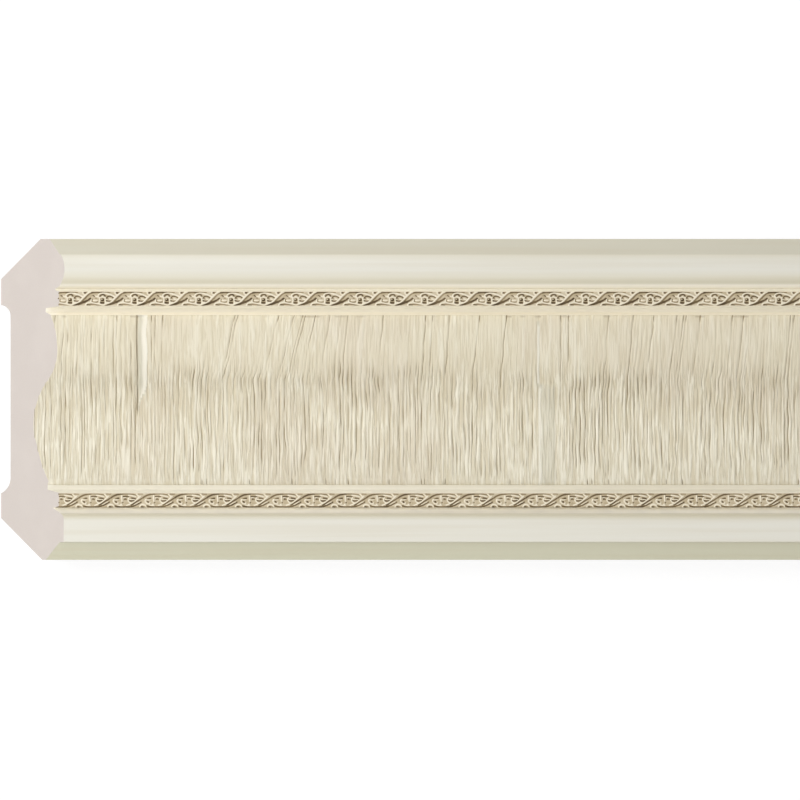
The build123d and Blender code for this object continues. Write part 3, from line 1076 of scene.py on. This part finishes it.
class Finish:
    """One material, built up node by node."""

    def __init__(self, name, roughness, **uniform):
        self.material = bpy.data.materials.new(name)
        self.material.use_nodes = True
        self.tree = self.material.node_tree
        self.shader = self.tree.nodes["Principled BSDF"]
        self.shader.inputs["Roughness"].default_value = roughness
        for socket, value in uniform.items():
            self.shader.inputs[socket.replace("_", " ")].default_value = value
        self.place = self.node("ShaderNodeTexCoord", {})["Object"]

    def node(self, kind, inputs, **settings):
        """Adds a node to the material and gives its outputs."""
        return add_node(self.tree, kind, inputs, **settings).outputs

    def noise(self, per_metre, detail=2.0, distortion=0.0):
        """Noise whose grain repeats about so many times a metre along X, Y and Z."""
        scaled = self.node("ShaderNodeMapping", {"Vector": self.place, "Scale": per_metre})[0]
        inputs = {"Vector": scaled, "Scale": 1.0, "Detail": detail, "Distortion": distortion}
        return self.node("ShaderNodeTexNoise", inputs)[0]

    def ranged(self, value, low, high, to_low=0.0, to_high=1.0, interpolation="SMOOTHSTEP"):
        """The value carried from one range to another."""
        inputs = {"Value": value, "From Min": low, "From Max": high, "To Min": to_low, "To Max": to_high}
        return self.node("ShaderNodeMapRange", inputs, interpolation_type=interpolation)[0]

    def mixed(self, factor, first, second):
        """A colour between two colours."""
        return self.node("ShaderNodeMix", {0: factor, 6: first, 7: second}, data_type="RGBA")[2]

    def tinted(self, colour, tint, value, low, high, most):
        """The colour moved towards a tint, by nothing where the value is low and by most where high."""
        return self.mixed(self.ranged(value, low, high, 0.0, most), colour, tint)

    def product(self, *values):
        """The values multiplied together."""
        result = values[0]
        for value in values[1:]:
            result = self.node("ShaderNodeMath", {0: result, 1: value}, operation="MULTIPLY")[0]
        return result

    def axis(self, name):
        """One coordinate of the place on the object, in metres."""
        return self.node("ShaderNodeSeparateXYZ", {0: self.place})[name]

    def attribute(self, name):
        """A value kept on the mesh."""
        return self.node("ShaderNodeAttribute", {}, attribute_name=name)["Fac"]

    def ramp(self, value, stops):
        """A colour read from stops along 0 to 1."""
        made = add_node(self.tree, "ShaderNodeValToRGB", {0: value})
        elements = made.color_ramp.elements
        elements[0].position, elements[0].color = stops[0]
        elements[1].position, elements[1].color = stops[-1]
        for position, colour in stops[1:-1]:
            elements.new(position).color = colour
        return made.outputs[0]

    def feed(self, name, socket):
        """Feeds one of the shader's inputs."""
        self.tree.links.new(socket, self.shader.inputs[name])

    def bump(self, *layers):
        """Fine relief: each layer is a height socket and its depth in metres."""
        normal = None
        for height, depth in layers:
            inputs = {"Height": height, "Distance": depth, "Strength": 1.0}
            if normal is not None:
                inputs["Normal"] = normal
            normal = self.node("ShaderNodeBump", inputs)[0]
        self.feed("Normal", normal)


def ivory_paint():
    """Satin paint: pearl on the raised members, creamier with painted light in the grooves and duller
    with painted shade on the bevels and the ovolo's edges.
    """
    finish = Finish("ivory_paint", 0.38, IOR=1.5)
    edges = WALL_EDGE * MM, CEILING_EDGE * MM
    place = finish.ranged(finish.axis("Y"), *edges, interpolation="LINEAR")
    stops = [((y - WALL_EDGE) / (CEILING_EDGE - WALL_EDGE), colour) for y, colour in FACE_PAINT]
    colour = finish.ramp(place, stops)
    drag = finish.noise((5, 260, 260), 3.0)
    cloud = finish.noise((9, 30, 30), 2.0)
    colour = finish.tinted(colour, TOUCHED, drag, 0.43, 0.72, 0.18)
    colour = finish.tinted(colour, BEVEL_SHADE_AND_MOTTLE, cloud, 0.4, 0.7, 0.1)
    finish.feed("Base Color", colour)
    finish.feed("Roughness", finish.ranged(cloud, 0.3, 0.7, 0.33, 0.43))
    strokes, speckle = finish.noise((40, 700, 700), 2.0), finish.noise((900, 900, 900), 1.0)
    finish.bump((strokes, 0.00002), (speckle, 0.00001))
    return finish.material


def foam_end():
    """Sawn foam with its fine closed cells."""
    finish = Finish("foam_end", 0.9, IOR=1.45)
    cells = finish.noise((1400, 1400, 1400), 3.0)
    cloud = finish.noise((60, 60, 60), 2.0)
    colour = finish.tinted(FOAM, FOAM_CELL, cells, 0.35, 0.7, 0.2)
    colour = finish.tinted(colour, FOAM_PALE, cloud, 0.4, 0.7, 0.12)
    finish.feed("Base Color", colour)
    finish.bump((cells, 0.00004))
    return finish.material


def antique_ornament():
    """Cream paint with a brown glaze wiped into the carving: the deeper, the browner."""
    finish = Finish("antique_ornament", 0.45, IOR=1.5)
    patchy = finish.noise((160, 160, 160), 3.0)
    fall_start = (LOWER_BAND_BOTTOM + BAND_FALL_WIDTH) * MM
    fallen = finish.ranged(finish.axis("Y"), fall_start, LOWER_BAND_BOTTOM * MM, 0.0, BAND_FALL * MM)
    height = finish.node("ShaderNodeMath", {0: finish.axis("Z"), 1: fallen}, operation="ADD")[0]
    sunk = finish.ranged(height, BAND_LEVEL * MM, (BAND_LEVEL + DEEP) * MM)
    strength = finish.ranged(patchy, 0.3, 0.7, 0.8, 1.15)
    finish.feed("Base Color", finish.ramp(finish.product(sunk, strength), GLAZE_STOPS))
    finish.feed("Roughness", finish.ranged(sunk, 0.0, 1.0, 0.38, 0.62))
    finish.bump((finish.noise((1500, 1500, 1500), 2.0), 0.00002))
    return finish.material


def slope_shade_share(finish, across, blot):
    """How far the patchy painted shade on the down-facing slope below the crest shows."""
    below_top = finish.ranged(across, 32 * MM, 8 * MM)
    above_bottom = finish.ranged(across, -16 * MM, 4 * MM)
    return finish.product(below_top, above_bottom, finish.ranged(blot, 0.3, 0.7, 0.0, 0.26))


def grained_field():
    """Cream paint dragged over the grain, brown glaze left in furrows, darker joint edges, and painted
    highlights and shade.
    """
    finish = Finish("grained_field", 0.5, IOR=1.5)
    fibre = finish.noise((1050, 70, 70), 3.0, 0.45)
    streak = finish.noise((300, 30, 30), 2.0, 0.8)
    blot = finish.noise((130, 55, 55), 3.0)
    cloud = finish.noise((22, 16, 16), 2.0)
    grain, joint = finish.attribute("grain"), finish.attribute("joint")
    across = finish.axis("Y")
    coarse = finish.ranged(across, 24 * MM, 8 * MM, 0.4, 1.0)
    dash = finish.product(finish.ranged(fibre, 0.36, 0.6), coarse)
    colour = finish.tinted(FIELD, PALE_STREAK_AND_HIGHLIGHT, streak, 0.5, 0.66, 0.4)
    colour = finish.tinted(colour, TOUCHED, dash, 0.3, 0.0, 0.42)
    colour = finish.tinted(colour, PALE_STREAK_AND_HIGHLIGHT, dash, 0.7, 1.0, 0.55)
    # painted shade on the down-facing slope below the crest
    colour = finish.mixed(slope_shade_share(finish, across, blot), colour, SLOPE_SHADE_BROWN)
    colour = finish.tinted(colour, CLOUDED, cloud, 0.45, 0.7, 0.3)
    # painted highlight on the raised lips beside the furrows
    colour = finish.tinted(colour, PALE_STREAK_AND_HIGHLIGHT, grain, -0.03, -0.2, 0.8)
    colour = finish.tinted(colour, JOINT_FLOOR, joint, 0.0, 0.5, 0.8)
    # painted highlight on the joints' lips
    colour = finish.tinted(colour, JOINT_LIP_HIGHLIGHT, joint, 0.5, 1.0, 0.78)
    stain = finish.product(grain, finish.ranged(blot, 0.3, 0.7, 0.75, 1.15))
    colour = finish.tinted(colour, FURROW, stain, 0.05, 0.95, 1.0)
    finish.feed("Base Color", colour)
    finish.feed("Roughness", finish.ranged(blot, 0.3, 0.7, 0.42, 0.6))
    finish.bump((dash, 0.00022), (streak, 0.00035), (finish.noise((1600, 700, 700), 2.0), 0.00003))
    return finish.material


# Floor, world and lamps

FLOOR_HALF = 20.0  # metres
FLOOR_LEVEL = -0.0004
FLOOR_COLOUR = (0.85, 0.85, 0.85, 1)
FLOOR_GLOW = 1.14  # how brightly the floor is seen, so that it looks white
GLOW_SHARE = 0.75  # the rest of what is seen is the lit floor with the shadow
AMBIENT = 0.32
LAMP_AIM = (-1.0, 0, 0)  # the mitred end

# Lamps: name, place, aim, size and power
LAMPS = (
    ("key", (-2.0, 0.32, 1.35), LAMP_AIM, 0.5, 11.6),
    ("ceiling_side", (-1.2, 0.95, 1.2), LAMP_AIM, 0.6, 6.0),
    ("wall_side", (-1.2, -1.15, 0.9), LAMP_AIM, 0.6, 6.0),
    ("fill", (1.9, 0, 1.0), (1.2, 0, 0), 1.2, 8.0),
)


def seen_directly(tree):
    """1 for the rays of the camera, of reflections and of transmission."""
    path = add_node(tree, "ShaderNodeLightPath", {}).outputs
    total = path["Is Camera Ray"]
    for name in ("Is Glossy Ray", "Is Transmission Ray"):
        either = add_node(tree, "ShaderNodeMath", {0: total, 1: path[name]}, operation="MAXIMUM")
        total = either.outputs[0]
    return total


def floor_white():
    """A pale floor that is seen as white and still takes the object's shadow."""
    material = bpy.data.materials.new("floor_white")
    material.use_nodes = True
    tree = material.node_tree
    tree.nodes.clear()
    diffuse = add_node(tree, "ShaderNodeBsdfDiffuse", {"Color": FLOOR_COLOUR}).outputs[0]
    glow = add_node(tree, "ShaderNodeEmission", {"Strength": FLOOR_GLOW}).outputs[0]
    seen = {0: seen_directly(tree), 1: GLOW_SHARE}
    share = add_node(tree, "ShaderNodeMath", seen, operation="MULTIPLY").outputs[0]
    blend = add_node(tree, "ShaderNodeMixShader", {0: share, 1: diffuse, 2: glow}).outputs[0]
    add_node(tree, "ShaderNodeOutputMaterial", {"Surface": blend})
    return material


def add_floor():
    """A wide floor under the object."""
    corners = [(-1, -1), (1, -1), (1, 1), (-1, 1)]
    mesh = bpy.data.meshes.new("floor")
    vertices = [(x * FLOOR_HALF, y * FLOOR_HALF, FLOOR_LEVEL) for x, y in corners]
    mesh.from_pydata(vertices, [], [(0, 1, 2, 3)])
    mesh.materials.append(floor_white())
    new_object("floor", mesh)


def light_world():
    """Even white surroundings: bright where they are seen, plain where they light."""
    world = bpy.data.worlds.new("studio")
    bpy.context.scene.world = world
    world.use_nodes = True
    tree = world.node_tree
    background = tree.nodes["Background"]
    background.inputs["Color"].default_value = (1, 1, 1, 1)
    seen = {"Value": seen_directly(tree), "To Min": AMBIENT, "To Max": 1.0}
    strength = add_node(tree, "ShaderNodeMapRange", seen).outputs[0]
    tree.links.new(strength, background.inputs["Strength"])


def area_lamp(name, place, target, size, power):
    """A soft square lamp aimed at a place."""
    data = bpy.data.lights.new(name, "AREA")
    data.size = size
    data.energy = power
    lamp = new_object(name, data)
    lamp.location = place
    aim = Vector(target) - Vector(place)
    lamp.rotation_euler = aim.to_track_quat("-Z", "Y").to_euler()


def light_studio():
    """A soft key over the mitred end, two lamps beside it and a fill over the other end."""
    light_world()
    for lamp in LAMPS:
        area_lamp(*lamp)


# The whole part


def tiles_over(start, pitch):
    """Numbers of the motifs that reach from the mitred end past the square end."""
    first = int((MITRE_TOE + SEAT_LEVEL - RUN_OVER - start) // pitch)
    last = int((SQUARE_END + RUN_OVER - start) // pitch)
    return first, (first + last) // 2, last


def make_bands(foam, glaze):
    """Both carved bands, each in two lengths."""
    upper_width = UPPER_BAND_TOP - UPPER_BAND_BOTTOM
    lower_width = LOWER_BAND_TOP - LOWER_BAND_BOTTOM
    bands = (
        ("upper_ornament", UPPER_MOTIF, UPPER_START, UPPER_PITCH, UPPER_BAND_TOP, upper_width, 0),
        ("lower_ornament", LOWER_MOTIF, LOWER_START, LOWER_PITCH, LOWER_BAND_TOP, lower_width, BAND_FALL),
    )
    for name, motif, start, pitch, top, width, fall in bands:
        first, middle, last = tiles_over(start, pitch)
        for part, tiles in enumerate((range(first, middle), range(middle, last + 1)), 1):
            band = make_band(f"{name}_{part}", motif, start, pitch, top, width, fall, tiles)
            dress(band, "antique_ornament", glaze, foam)


def build():
    """Every piece with its finish."""
    foam = foam_end()
    dress(make_body(), "ivory_paint", ivory_paint(), foam)
    make_bands(foam, antique_ornament())
    grain = grained_field()
    for half in make_field():
        dress(half, "grained_field", grain, foam)


add_camera()
add_floor()
light_studio()
build()

view = bpy.context.scene.view_settings
view.view_transform = "Standard"
